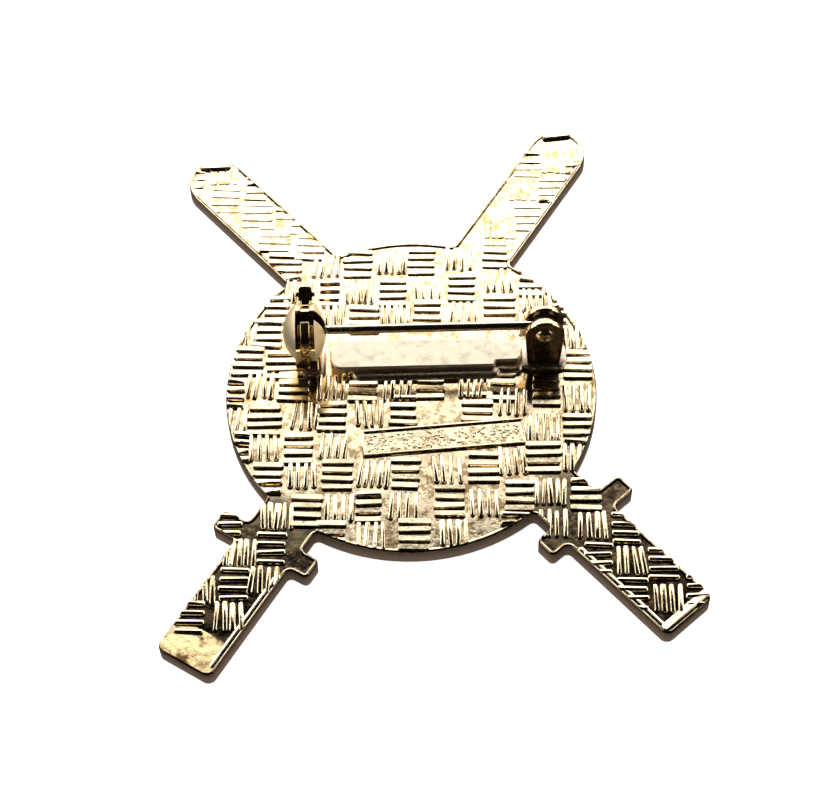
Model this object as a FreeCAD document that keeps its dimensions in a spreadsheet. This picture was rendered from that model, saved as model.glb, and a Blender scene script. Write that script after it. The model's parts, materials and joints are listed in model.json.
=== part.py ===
"""Cap badge of two crossed swords on a disc, with a soldered locking bar pin on its back.

The badge lies on its face: +Z points out of its back, +Y to the blade tips, and the origin is the
centre of the disc in the plane of the raised front. Lengths are millimetres, angles degrees.
"""
import FreeCAD, Part
import Sketcher
import math
import os

SIZES = {
    # badge casting
    "disc_radius": 20.0,
    "plate_thickness": 2.4,
    "field_radius": 18.2,         # sunk field inside the raised rim of the front
    "field_depth": 0.6,
    "sword_angle": 36.5,          # each sword's lean from +Y
    "crossing_height": 4.5,       # where the two swords cross, above the disc's centre
    "sword_half_width": 3.3,
    "blade_reach": 33.2,          # from the crossing to the centre of the round tip
    "handle_reach": 43.0,         # from the crossing to the square end of the handle
    "guard_near": 26.2,
    "guard_far": 28.7,
    "guard_outer": 6.3,           # the guard's lug on the far side from the disc
    "guard_inner": 5.5,
    "fuller_half_width": 0.75,
    "fuller_depth": 0.35,
    "handle_corner": 0.9,
    "neck_radius": 0.6,
    "label_across": 2.95,
    "label_up": -6.4,
    "label_length": 17.5,
    "label_width": 3.15,
    "label_angle": -0.4,
    "label_depth": 0.15,
    # where the bar pin stands on the back
    "bar_across": 1.7,
    "bar_up": 3.75,
    "bar_angle": -4.4,
    # base strip and solder
    "solder_height": 0.35,
    "bar_thickness": 0.8,
    "bar_left": -10.1,
    "bar_shoulder": 7.7,
    "bar_right": 10.7,
    "bar_width": 3.7,
    "bar_corner": 1.3,
    "tongue_width": 2.5,
    "tongue_corner": 0.9,
    "solder_margin": 0.45,
    "shoulder_round": 0.28,
    "bar_edge_round": 0.2,
    # joint: bracket, rivet and pin
    "joint_across": 13.0,
    "pivot_height": 5.5,
    "ear_radius": 2.1,
    "ear_foot_half": 1.75,
    "joint_width": 2.5,
    "joint_slot": 1.3,
    "joint_floor": 0.6,
    "rivet_radius": 0.55,
    "rivet_bore": 0.3,
    "rivet_head_radius": 1.05,
    "rivet_head_height": 0.4,
    "eye_radius": 1.35,
    "eye_width": 1.1,
    "eye_clearance": 0.05,
    "stem_radius": 0.5,
    "stem_rise": 0.35,            # the wire leaves the eye this far above the rivet's axis
    "stem_tip": -12.85,
    "tip_length": 3.0,
    "tip_radius": 0.06,
    # safety catch
    "catch_across": -12.4,
    "catch_height": 5.5,
    "catch_radius": 3.1,
    "catch_bore": 2.3,
    "catch_half_width": 1.0,
    "left_bulge": 1.5,            # how far each dome stands out past the catch's rim
    "right_bulge": 1.1,
    "dome_wall": 0.4,
    "rotor_half_width": 0.47,
    "rotor_radius": 2.9,
    "rotor_bore": 1.5,
    "rotor_lip_radius": 2.25,
    "rotor_lip_half_width": 0.8,
    "rotor_clearance": 0.05,
    "saddle_clearance": 0.1,
    "rotor_gap": 1.3,
    "entry_slot": 1.2,
    "window_back": 12.0,          # the housing is open from this far behind the top ...
    "window_front": 76.0,         # ... to this far in front of it
    "foot_half_length": 1.35,
    "foot_half_width": 1.6,
    "foot_rise": 3.0,
    "tab_angle": -54.0,           # the thumb tab leans back from the top
    "tab_root": 2.5,
    "tab_shoulder": 3.3,
    "tab_tip": 4.9,
    "tab_half_length": 0.75,
    "tab_thickness": 1.0,
    "tab_flange_low": 3.75,
    "tab_flange_high": 4.25,
    "tab_flange_half": 1.05,
}

doc = FreeCAD.newDocument("CapBadge")
sheet = doc.addObject("Spreadsheet::Sheet", "Sizes")
subParts = []


class Dim:
    """A number together with the sheet expression that drives it."""

    def __init__(self, value, text):
        self.value = value
        self.text = text

    def join(self, sign, other, value):
        return Dim(value, f"({self.text} {sign} {asDim(other).text})")

    def __add__(self, other):
        return self.join("+", other, self.value + asDim(other).value)

    def __sub__(self, other):
        return self.join("-", other, self.value - asDim(other).value)

    def __mul__(self, other):
        return self.join("*", other, self.value * asDim(other).value)

    def __truediv__(self, other):
        return self.join("/", other, self.value / asDim(other).value)

    def __neg__(self):
        return Dim(-self.value, f"(-1 * {self.text})")


def asDim(number):
    return number if isinstance(number, Dim) else Dim(number, str(number))


def fillSheet():
    for row, (alias, value) in enumerate(SIZES.items(), start=1):
        sheet.set(f"A{row}", alias)
        sheet.set(f"B{row}", str(value))
        sheet.setAlias(f"B{row}", alias)
    doc.recompute()


def size(alias):
    return Dim(SIZES[alias], f"Sizes.{alias}")


def bind(thing, path, dim):
    thing.setExpression(path, asDim(dim).text)


def place(x=0.0, y=0.0, z=0.0, axis=(0, 0, 1), angle=0.0):
    turn = FreeCAD.Rotation(FreeCAD.Vector(*axis), angle)
    return FreeCAD.Placement(FreeCAD.Vector(x, y, z), turn)


# ---- sketches -----------------------------------------------------------------------------------

def newBody(label, placement=None):
    body = doc.addObject("PartDesign::Body", label)
    body.Label = label
    if placement:
        body.Placement = placement
    subParts.append(body)
    return body


def originPlane(body, role):
    return next(item for item in body.Origin.OriginFeatures if item.Role == role)


def newSketch(body, name, role, right=0, up=0, lift=0, angle=0.0):
    """A sketch on one of its body's own planes, moved and turned within that plane."""
    sketch = body.newObject("Sketcher::SketchObject", name)
    sketch.AttachmentSupport = [(originPlane(body, role), "")]
    sketch.MapMode = "FlatFace"
    sketch.AttachmentOffset = place(asDim(right).value, asDim(up).value, asDim(lift).value, angle=angle)
    for path, dim in (("x", right), ("y", up), ("z", lift)):
        bind(sketch, f"AttachmentOffset.Base.{path}", dim)
    return sketch


def fixPoint(sketch, geometry, vertex, x, y):
    for kind, dim in (("DistanceX", x), ("DistanceY", y)):
        index = sketch.addConstraint(Sketcher.Constraint(kind, -1, 1, geometry, vertex, asDim(dim).value))
        bind(sketch, f"Constraints[{index}]", dim)


def polygon(sketch, corners):
    """A closed outline whose every corner is dimensioned from the sketch's origin."""
    spots = [FreeCAD.Vector(asDim(x).value, asDim(y).value, 0) for x, y in corners]
    count = len(spots)
    for i in range(count):
        sketch.addGeometry(Part.LineSegment(spots[i], spots[(i + 1) % count]), False)
    for i in range(count):
        sketch.addConstraint(Sketcher.Constraint("Coincident", i, 2, (i + 1) % count, 1))
    for i, (x, y) in enumerate(corners):
        fixPoint(sketch, i, 1, x, y)
    return sketch


def rectangle(sketch, left, right, low, high):
    return polygon(sketch, [(left, low), (right, low), (right, high), (left, high)])


def circle(sketch, x, y, radius):
    centre = FreeCAD.Vector(asDim(x).value, asDim(y).value, 0)
    index = sketch.addGeometry(Part.Circle(centre, FreeCAD.Vector(0, 0, 1), asDim(radius).value), False)
    fixPoint(sketch, index, 3, x, y)
    constraint = sketch.addConstraint(Sketcher.Constraint("Radius", index, asDim(radius).value))
    bind(sketch, f"Constraints[{constraint}]", radius)
    return sketch


def roundEndedBar(sketch, halfWidth, reachUp, reachDown):
    """A bar along the sketch's Y axis with a square lower end and a half-round upper end."""
    half, top, bottom = asDim(halfWidth).value, asDim(reachUp).value, -asDim(reachDown).value
    tip = Part.Circle(FreeCAD.Vector(0, top, 0), FreeCAD.Vector(0, 0, 1), half)
    arc = sketch.addGeometry(Part.ArcOfCircle(tip, 0, math.pi), False)
    corners = [(-half, top), (-half, bottom), (half, bottom), (half, top)]
    spots = [FreeCAD.Vector(x, y, 0) for x, y in corners]
    left, end, right = [
        sketch.addGeometry(Part.LineSegment(spots[i], spots[i + 1]), False) for i in range(3)
    ]
    for rule in (
        ("Tangent", arc, 2, left, 1), ("Coincident", left, 2, end, 1), ("Coincident", end, 2, right, 1),
        ("Tangent", right, 2, arc, 1), ("Vertical", left), ("Vertical", right), ("Horizontal", end),
    ):
        sketch.addConstraint(Sketcher.Constraint(*rule))
    fixPoint(sketch, arc, 3, 0, reachUp)
    radius = sketch.addConstraint(Sketcher.Constraint("Radius", arc, half))
    bind(sketch, f"Constraints[{radius}]", halfWidth)
    foot = sketch.addConstraint(Sketcher.Constraint("DistanceY", -1, 1, end, 1, bottom))
    bind(sketch, f"Constraints[{foot}]", -asDim(reachDown))
    return sketch


# ---- features -----------------------------------------------------------------------------------

def pad(body, sketch, length, symmetric=False):
    feature = body.newObject("PartDesign::Pad", sketch.Name + "Pad")
    feature.Profile = sketch
    if symmetric:
        feature.SideType = "Symmetric"
    bind(feature, "Length", length)
    doc.recompute()
    return feature


def pocket(body, sketch, length=None, forward=False, symmetric=False):
    """A cut along the sketch's normal (forward) or against it; through everything with no length."""
    before = body.Shape.Volume
    feature = body.newObject("PartDesign::Pocket", sketch.Name + "Pocket")
    feature.Profile = sketch
    feature.Reversed = forward
    if symmetric:
        feature.SideType = "Symmetric"
    if length is None:
        feature.Type = "ThroughAll"
    else:
        bind(feature, "Length", length)
    doc.recompute()
    if body.Shape.Volume >= before:
        raise RuntimeError(f"{feature.Name} cuts nothing")
    return feature


def revolve(body, sketch, axisName):
    feature = body.newObject("PartDesign::Revolution", sketch.Name + "Revolution")
    feature.Profile = sketch
    feature.ReferenceAxis = (sketch, [axisName])
    feature.Angle = 360
    doc.recompute()
    return feature


def mirror(body, features):
    feature = body.newObject("PartDesign::Mirrored", features[0].Name + "Mirrored")
    feature.Originals = features
    feature.MirrorPlane = (originPlane(body, "YZ_Plane"), [""])
    body.Tip = feature
    doc.recompute()
    return feature


def uprightEdges(shape, spots):
    """Names of the edges parallel to Z that pass within a small distance of the given places."""
    near = 0.05
    names = []
    for number, edge in enumerate(shape.Edges, start=1):
        ends = [vertex.Point for vertex in edge.Vertexes]
        if len(ends) < 2 or (ends[0] - ends[1]).Length < near:
            continue
        run = ends[0] - ends[1]
        if math.hypot(run.x, run.y) > near:
            continue
        if any(math.hypot(ends[0].x - x, ends[0].y - y) < near for x, y in spots):
            names.append(f"Edge{number}")
    return names


def roundUprights(body, name, spots, radius):
    base = body.Tip
    names = uprightEdges(base.Shape, spots)
    if not names:
        raise RuntimeError(f"{name} finds no edges")
    feature = body.newObject("PartDesign::Fillet", name)
    feature.Base = (base, names)
    bind(feature, "Radius", radius)
    doc.recompute()
    return feature


# ---- badge casting ------------------------------------------------------------------------------

def swordPoint(across, along, side):
    """Where a point of one sword lies on the badge: side is 1 for the blade that leans to +X."""
    lean = math.radians(SIZES["sword_angle"])
    x = across * math.cos(lean) + along * math.sin(lean)
    y = SIZES["crossing_height"] - across * math.sin(lean) + along * math.cos(lean)
    return side * x, y


def discCrossing(across, upward):
    """How far along the sword its side, at this offset, leaves the disc."""
    lean = math.radians(SIZES["sword_angle"])
    height = SIZES["crossing_height"]
    middle = -height * math.cos(lean)
    offset = across - height * math.sin(lean)
    reach = math.sqrt(SIZES["disc_radius"] ** 2 - offset ** 2)
    return middle + reach if upward else middle - reach


def swordSketch(body, name, lift=0):
    return newSketch(
        body, name, "XY_Plane", up=size("crossing_height"), lift=lift, angle=-SIZES["sword_angle"]
    )


def makeBadgePlate():
    body = newBody("badge_plate")
    thickness = size("plate_thickness")
    half = size("sword_half_width")
    pad(body, circle(newSketch(body, "Disc", "XY_Plane"), 0, 0, size("disc_radius")), thickness)
    field = circle(newSketch(body, "Field", "XY_Plane"), 0, 0, size("field_radius"))
    pocket(body, field, size("field_depth"), forward=True)
    sword = roundEndedBar(swordSketch(body, "Sword"), half, size("blade_reach"), size("handle_reach"))
    swordPad = pad(body, sword, thickness)
    guard = rectangle(
        swordSketch(body, "Guard"),
        -size("guard_outer"), size("guard_inner"), -size("guard_far"), -size("guard_near"),
    )
    guardPad = pad(body, guard, thickness)
    mirror(body, [swordPad, guardPad])

    sides = (1, -1)
    across = SIZES["sword_half_width"]
    handleEnds = [swordPoint(s * across, -SIZES["handle_reach"], m) for s in sides for m in sides]
    roundUprights(body, "HandleCorners", handleEnds, size("handle_corner"))
    guardEdges = (-SIZES["guard_far"], -SIZES["guard_near"])
    guardEnds = (-SIZES["guard_outer"], SIZES["guard_inner"])
    necks = [swordPoint(s * across, along, m) for along in guardEdges for s in sides for m in sides]
    necks += [swordPoint(end, along, m) for end in guardEnds for along in guardEdges for m in sides]
    necks += [
        swordPoint(s * across, discCrossing(s * across, up), m)
        for up in (True, False) for s in sides for m in sides
    ]
    roundUprights(body, "NeckRounds", necks, size("neck_radius"))

    fuller = rectangle(
        swordSketch(body, "Fuller"),
        -size("fuller_half_width"), size("fuller_half_width"),
        -size("guard_near") + size("guard_inner"), size("blade_reach"),
    )
    mirror(body, [pocket(body, fuller, size("fuller_depth"), forward=True)])
    label = rectangle(
        newSketch(
            body, "Label", "XY_Plane",
            size("label_across"), size("label_up"), thickness, SIZES["label_angle"],
        ),
        size("label_length") / -2, size("label_length") / 2,
        size("label_width") / -2, size("label_width") / 2,
    )
    pocket(body, label, size("label_depth"))


# ---- bar pin ------------------------------------------------------------------------------------

barPlace = place(
    SIZES["bar_across"], SIZES["bar_up"], SIZES["plate_thickness"], angle=SIZES["bar_angle"]
)


def solidBox(name, left, right, front, back, low, high):
    """A Part box between six planes, each an expression on the sheet."""
    box = doc.addObject("Part::Box", name)
    for path, dim in (
        ("Length", right - left), ("Width", back - front), ("Height", high - low),
        ("Placement.Base.x", left), ("Placement.Base.y", front), ("Placement.Base.z", low),
    ):
        bind(box, path, dim)
    return box


def crosswiseCylinder(name, radius, left, right, height):
    """A Part cylinder along X, from left to right, with its axis at this height."""
    cylinder = doc.addObject("Part::Cylinder", name)
    cylinder.Placement = place(axis=(0, 1, 0), angle=90)
    for path, dim in (
        ("Radius", radius), ("Height", right - left),
        ("Placement.Base.x", left), ("Placement.Base.z", height),
    ):
        bind(cylinder, path, dim)
    return cylinder


def ball(name, radius, x, z):
    sphere = doc.addObject("Part::Sphere", name)
    for path, dim in (("Radius", radius), ("Placement.Base.x", x), ("Placement.Base.z", z)):
        bind(sphere, path, dim)
    return sphere


def combine(kind, name, shapes):
    feature = doc.addObject(kind, name)
    feature.Shapes = shapes
    doc.recompute()
    return feature


def cut(name, base, tool):
    feature = doc.addObject("Part::Cut", name)
    feature.Base = base
    feature.Tool = tool
    doc.recompute()
    if feature.Shape.Volume >= base.Shape.Volume:
        raise RuntimeError(f"{name} cuts nothing")
    return feature


def makeSolder():
    """Three beds of solder, under the strip, the joint and the catch."""
    zero, height, margin = asDim(0), size("solder_height"), size("solder_margin")
    strip = size("bar_width") / 2 + margin
    joint = size("joint_width") / 2 + margin
    foot = size("foot_half_width") + margin / 2
    jointHalf = size("ear_foot_half") + margin
    footHalf = size("foot_half_length") + margin / 2
    beds = [
        solidBox(
            "BarSolder", size("bar_left") - margin / 2, size("bar_shoulder") + margin / 2,
            -strip, strip, zero, height,
        ),
        solidBox(
            "JointSolder", size("joint_across") - jointHalf, size("joint_across") + jointHalf,
            -joint, joint, zero, height,
        ),
        solidBox(
            "CatchSolder", size("catch_across") - footHalf, size("catch_across") + footHalf,
            -foot, foot, zero, height,
        ),
    ]
    solder = doc.addObject("Part::Compound", "solder_joints")
    solder.Label = "solder_joints"
    solder.Links = beds
    solder.Placement = barPlace
    subParts.append(solder)


def makePinBar():
    body = newBody("pin_bar", barPlace)
    lift, thickness = size("solder_height"), size("bar_thickness")
    wide, tongue = size("bar_width") / 2, size("tongue_width") / 2
    strip = rectangle(
        newSketch(body, "Strip", "XY_Plane", lift=lift),
        size("bar_left"), size("bar_shoulder"), -wide, wide,
    )
    pad(body, strip, thickness)
    neck = rectangle(
        newSketch(body, "Tongue", "XY_Plane", lift=lift),
        size("bar_shoulder") - size("tongue_corner"), size("bar_right"), -tongue, tongue,
    )
    pad(body, neck, thickness)
    left, shoulder, right = SIZES["bar_left"], SIZES["bar_shoulder"], SIZES["bar_right"]
    w, t = wide.value, tongue.value
    roundUprights(body, "StripCorners", [(left, -w), (left, w)], size("bar_corner"))
    roundUprights(
        body, "TongueCorners", [(right, -t), (right, t)], size("tongue_corner")
    )
    roundUprights(
        body, "Shoulders",
        [(shoulder, -w), (shoulder, w), (shoulder, -t), (shoulder, t)], size("shoulder_round"),
    )
    topHeight = (lift + thickness).value
    base = body.Tip
    rim = [
        f"Edge{number}" for number, edge in enumerate(base.Shape.Edges, start=1)
        if all(abs(vertex.Point.z - topHeight) < 0.01 for vertex in edge.Vertexes)
    ]
    crown = body.newObject("PartDesign::Fillet", "TopRound")
    crown.Base = (base, rim)
    bind(crown, "Radius", size("bar_edge_round"))
    doc.recompute()


def makeJointBracket():
    body = newBody("joint_bracket", barPlace)
    x, pivot, radius = size("joint_across"), size("pivot_height"), size("ear_radius")
    floor, foot, width = size("solder_height"), size("ear_foot_half"), size("joint_width")
    head = circle(newSketch(body, "EarHead", "XZ_Plane"), x, pivot, radius)
    pad(body, head, width, symmetric=True)
    cheek = polygon(
        newSketch(body, "EarCheek", "XZ_Plane"),
        [(x - foot, floor), (x + foot, floor), (x + radius, pivot), (x - radius, pivot)],
    )
    pad(body, cheek, width, symmetric=True)
    slotHalf = size("joint_slot") / 2
    slot = rectangle(
        newSketch(body, "EarSlot", "YZ_Plane"),
        -slotHalf, slotHalf, floor + size("joint_floor"), pivot + radius * 2,
    )
    pocket(body, slot, forward=True)
    hole = circle(newSketch(body, "RivetHole", "XZ_Plane"), x, pivot, size("rivet_radius"))
    pocket(body, hole, symmetric=True)


def makeJointRivet():
    body = newBody("joint_rivet", barPlace)
    bore, shank, head = size("rivet_bore"), size("rivet_radius"), size("rivet_head_radius")
    seat = size("joint_width") / 2
    end = seat + size("rivet_head_height")
    crown = head - size("rivet_head_height")
    profile = polygon(
        newSketch(
            body, "RivetProfile", "XY_Plane", right=size("joint_across"), lift=size("pivot_height")
        ),
        [
            (bore, -end), (crown, -end), (head, -seat), (shank, -seat),
            (shank, seat), (head, seat), (crown, end), (bore, end),
        ],
    )
    revolve(body, profile, "V_Axis")


def makePinStem():
    body = newBody("pin_stem", barPlace)
    x, pivot, eye = size("joint_across"), size("pivot_height"), size("eye_radius")
    width, wire = size("eye_width"), size("stem_radius")
    ring = circle(newSketch(body, "Eye", "XZ_Plane"), x, pivot, eye)
    pad(body, ring, width, symmetric=True)
    heel = polygon(
        newSketch(body, "Heel", "XZ_Plane"),
        [
            (x, pivot - eye * 0.9), (x - eye * 1.95, pivot - eye * 0.65),
            (x - eye * 1.95, pivot - eye * 0.25), (x, pivot + eye * 0.9),
        ],
    )
    pad(body, heel, width, symmetric=True)
    tip = size("stem_tip")
    profile = polygon(
        newSketch(body, "StemProfile", "XZ_Plane", up=pivot + size("stem_rise")),
        [(tip, 0), (x, 0), (x, wire), (tip + size("tip_length"), wire), (tip, size("tip_radius"))],
    )
    revolve(body, profile, "H_Axis")
    hole = circle(
        newSketch(body, "EyeHole", "XZ_Plane"), x, pivot, size("rivet_radius") + size("eye_clearance")
    )
    pocket(body, hole, symmetric=True)


def lens(name, drumRadius, shrink):
    """The catch's round body: a short drum closed by two shallow domes, each smaller by shrink."""
    x, height = size("catch_across"), size("catch_height")
    half, radius = size("catch_half_width"), size("catch_radius")
    shapes = [crosswiseCylinder(name + "Drum", drumRadius, x - radius, x + radius, height)]
    for side, sign in (("left", 1), ("right", -1)):
        bulge = size(side + "_bulge")
        dome = (radius * radius + bulge * bulge) / (bulge * 2)
        centre = x + (dome - bulge - half) * sign
        shapes.append(ball(name + side, dome - shrink, centre, height))
    return combine("Part::MultiCommon", name, shapes)


def makeCatchHousing():
    zero, x, height = asDim(0), size("catch_across"), size("catch_height")
    radius, half = size("catch_radius"), size("catch_half_width")
    track = size("rotor_half_width") + size("rotor_clearance")
    footHalf, footSide = size("foot_half_length"), size("foot_half_width")
    slit = solidBox(
        "RotorTrack", x - track, x + track, -radius * 2, radius * 2, zero, height + radius * 2
    )
    inner = lens("InnerLens", size("catch_bore"), size("dome_wall"))
    shell = cut("HollowLens", lens("OuterLens", radius, 0), inner)
    cheeks = cut("Cheeks", shell, slit)
    footBlock = solidBox(
        "FootBlock", x - footHalf, x + footHalf, -footSide, footSide,
        size("solder_height"), size("foot_rise"),
    )
    saddleRadius = size("rotor_radius") + size("saddle_clearance")
    saddle = crosswiseCylinder("Saddle", saddleRadius, x - track, x + track, height)
    foot = cut("FootWithSaddle", footBlock, saddle)
    housing = combine("Part::MultiFuse", "HousingBlank", [cheeks, foot])

    window = crosswiseCylinder("Window", radius * 1.2, x - half, x + half, height)
    bind(window, "Angle", size("window_front") + size("window_back"))
    # a cylinder turned onto X starts its sector at -Z and runs towards +Y, so it is turned about X
    turnToTop = FreeCAD.Rotation(FreeCAD.Vector(1, 0, 0), 180.0 - SIZES["window_back"])
    window.Placement.Rotation = turnToTop * window.Placement.Rotation
    slotHalf = size("entry_slot") / 2
    entry = solidBox(
        "EntrySlot", x + track, x + radius, -slotHalf, slotHalf,
        height - slotHalf / 2, height + radius * 2,
    )
    opened = cut("HousingWithWindow", housing, window)
    final = cut("catch_housing", opened, entry)
    final.Label = "catch_housing"
    final.Placement = barPlace
    subParts.append(final)


def makeCatchRotor():
    """Built with its thumb tab upright, then leaned back about the catch's axis."""
    centre = place(SIZES["catch_across"], 0, SIZES["catch_height"], (1, 0, 0), SIZES["tab_angle"])
    body = newBody("catch_rotor", barPlace * centre)
    bore, lip, rim = size("rotor_bore"), size("rotor_lip_radius"), size("rotor_radius")
    web, lipHalf = size("rotor_half_width"), size("rotor_lip_half_width")
    profile = polygon(
        newSketch(body, "RotorProfile", "XZ_Plane"),
        [
            (-lipHalf, bore), (lipHalf, bore), (lipHalf, lip), (web, lip),
            (web, rim), (-web, rim), (-web, lip), (-lipHalf, lip),
        ],
    )
    revolve(body, profile, "H_Axis")
    gapHalf = size("rotor_gap") / 2
    gap = rectangle(
        newSketch(body, "RotorGap", "YZ_Plane", angle=-SIZES["tab_angle"]),
        -gapHalf, gapHalf, 0, rim * 1.2,
    )
    pocket(body, gap, symmetric=True)
    thick = size("tab_thickness")
    tab, flange = size("tab_half_length"), size("tab_flange_half")
    shoulder, tip = size("tab_shoulder"), size("tab_tip")
    low, high = size("tab_flange_low"), size("tab_flange_high")
    outline = [
        (web, size("tab_root")), (web, shoulder), (tab, shoulder), (tab, low), (flange, low),
        (flange, high), (tab, high), (tab, tip - thick / 4), (tab - thick / 4, tip),
    ]
    mirrored = [(-x, z) for x, z in reversed(outline)]
    pad(body, polygon(newSketch(body, "ThumbTab", "XZ_Plane"), outline + mirrored), thick, symmetric=True)


# ---- build, check and write ---------------------------------------------------------------------

def checkDocument():
    doc.recompute()
    for item in doc.Objects:
        if "Invalid" in item.State or "Error" in item.State:
            raise RuntimeError(f"{item.Name} failed: {item.State}")
    for item in subParts:
        if item.Shape.isNull() or not item.Shape.isValid():
            raise RuntimeError(f"{item.Label} has no valid shape")


def writeParts():
    os.makedirs("parts", exist_ok=True)
    for item in subParts:
        item.Shape.exportStep(f"parts/{item.Label}.step")
        box = item.Shape.BoundBox
        print(
            f"{item.Label:15s} solids {len(item.Shape.Solids)}  volume {item.Shape.Volume:9.3f}  "
            f"x {box.XMin:7.2f} {box.XMax:7.2f}  y {box.YMin:7.2f} {box.YMax:7.2f}  "
            f"z {box.ZMin:6.2f} {box.ZMax:6.2f}"
        )


fillSheet()
makeBadgePlate()
makeSolder()
makePinBar()
makeJointBracket()
makeJointRivet()
makePinStem()
makeCatchHousing()
makeCatchRotor()
checkDocument()
writeParts()
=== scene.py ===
import json
import math
import random

import bpy
from mathutils import Matrix, Vector

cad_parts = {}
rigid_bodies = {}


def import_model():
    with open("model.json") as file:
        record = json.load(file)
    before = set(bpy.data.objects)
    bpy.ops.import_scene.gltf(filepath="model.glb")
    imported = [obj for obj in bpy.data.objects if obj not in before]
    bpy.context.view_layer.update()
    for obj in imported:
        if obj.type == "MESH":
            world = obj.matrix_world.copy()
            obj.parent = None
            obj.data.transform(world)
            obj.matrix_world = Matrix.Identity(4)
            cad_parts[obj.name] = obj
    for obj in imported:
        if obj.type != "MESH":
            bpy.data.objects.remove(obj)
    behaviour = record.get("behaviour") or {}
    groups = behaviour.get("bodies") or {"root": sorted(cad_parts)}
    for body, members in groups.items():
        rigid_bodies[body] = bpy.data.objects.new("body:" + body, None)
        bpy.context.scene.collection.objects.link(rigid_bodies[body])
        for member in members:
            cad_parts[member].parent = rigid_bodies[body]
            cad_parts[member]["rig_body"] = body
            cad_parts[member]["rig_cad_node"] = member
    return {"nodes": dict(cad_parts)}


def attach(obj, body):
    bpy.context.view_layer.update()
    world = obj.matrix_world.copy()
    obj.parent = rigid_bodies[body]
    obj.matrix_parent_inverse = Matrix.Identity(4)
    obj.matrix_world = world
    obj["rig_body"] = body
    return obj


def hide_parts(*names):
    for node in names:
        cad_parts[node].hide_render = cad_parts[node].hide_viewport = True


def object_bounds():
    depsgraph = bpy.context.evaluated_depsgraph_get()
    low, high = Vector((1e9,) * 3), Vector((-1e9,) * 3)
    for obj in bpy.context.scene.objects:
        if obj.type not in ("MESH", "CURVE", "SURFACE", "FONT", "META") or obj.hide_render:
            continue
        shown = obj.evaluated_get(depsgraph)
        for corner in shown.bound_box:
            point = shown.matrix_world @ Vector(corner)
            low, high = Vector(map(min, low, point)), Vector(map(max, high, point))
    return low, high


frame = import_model()
cadLow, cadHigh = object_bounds()
mm = 0.001
print("frame loaded, box", [round(v / mm, 1) for v in cadHigh - cadLow], "mm")


def deselectAll():
    if bpy.context.mode != "OBJECT":
        bpy.ops.object.mode_set(mode="OBJECT")
    bpy.ops.object.select_all(action="DESELECT")


def activate(*objects):
    deselectAll()
    for item in objects:
        item.select_set(True)
    bpy.context.view_layer.objects.active = objects[0]


def leaveEdit():
    bpy.ops.object.mode_set(mode="OBJECT")


def enterEdit(item, kind="FACE"):
    activate(item)
    bpy.ops.object.mode_set(mode="EDIT")
    bpy.ops.mesh.select_mode(type=kind)
    bpy.ops.mesh.select_all(action="DESELECT")


def chooseFaces(item, test):
    # selects the faces that pass the test, and stays in edit mode
    enterEdit(item)
    leaveEdit()
    for face in item.data.polygons:
        face.select = test(face)
    bpy.ops.object.mode_set(mode="EDIT")


def chooseEdges(item, test):
    # the test is given the two ends of an edge
    enterEdit(item, "EDGE")
    leaveEdit()
    points = item.data.vertices
    for edge in item.data.edges:
        edge.select = test(points[edge.vertices[0]].co, points[edge.vertices[1]].co)
    bpy.ops.object.mode_set(mode="EDIT")


def chooseSharp(item, test, angle=30):
    # the sharp edges among those that pass the test
    enterEdit(item, "EDGE")
    bpy.ops.mesh.edges_select_sharp(sharpness=math.radians(angle))
    leaveEdit()
    points = item.data.vertices
    keep = {
        edge.index for edge in item.data.edges
        if edge.select and test(points[edge.vertices[0]].co, points[edge.vertices[1]].co)}
    enterEdit(item, "EDGE")
    leaveEdit()
    for index in keep:
        item.data.edges[index].select = True
    bpy.ops.object.mode_set(mode="EDIT")


def bevelChosen(width, segments):
    # rounds the chosen edges (width in mm) and leaves edit mode
    bpy.ops.mesh.bevel(offset=width * mm, segments=segments, affect="EDGES")
    leaveEdit()


def applyAll(item):
    activate(item)
    for modifier in list(item.modifiers):
        bpy.ops.object.modifier_apply(modifier=modifier.name)


def bevelled(item, width, segments=2, angle=35):
    # rounds every edge sharper than the angle (width in mm)
    bevel = item.modifiers.new("edges", "BEVEL")
    bevel.width = width * mm
    bevel.segments = segments
    bevel.limit_method = "ANGLE"
    bevel.angle_limit = math.radians(angle)
    bevel.use_clamp_overlap = True
    applyAll(item)


def smooth(item, angle=35):
    # soft shading over every edge flatter than the angle
    activate(item)
    bpy.ops.object.shade_smooth_by_angle(angle=math.radians(angle))


def flattenBig(item, area):
    # wide flat faces keep their own normal, so that the rounded edges beside them don't bend it
    for face in item.data.polygons:
        if face.area > area * mm * mm:
            face.use_smooth = False


def placeMesh(item, matrix=None):
    # moves the place of an object into its mesh, so that the object sits at the origin
    activate(item)
    if matrix is not None:
        item.matrix_world = matrix @ item.matrix_world
    bpy.ops.object.transform_apply(location=True, rotation=True, scale=True)


def copyOf(item, name):
    # a copy with its own mesh
    twin = item.copy()
    twin.data = item.data.copy()
    twin.name = name
    bpy.context.scene.collection.objects.link(twin)
    return twin


def joined(items, name):
    activate(*items)
    bpy.ops.object.join()
    result = bpy.context.view_layer.objects.active
    result.name = name
    return result


def copyNode(node, name):
    # a merged, clean copy of a CAD node, to be shaped further
    twin = copyOf(frame["nodes"][node], name)
    for key in ("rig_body", "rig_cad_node"):      # the copy isn't the node any more
        del twin[key]
    twin.parent = None
    twin.data.materials.clear()
    enterEdit(twin)
    bpy.ops.mesh.select_all(action="SELECT")
    bpy.ops.mesh.remove_doubles(threshold=1e-6)
    bpy.ops.mesh.dissolve_limited(angle_limit=math.radians(0.6))
    leaveEdit()
    return twin


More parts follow.
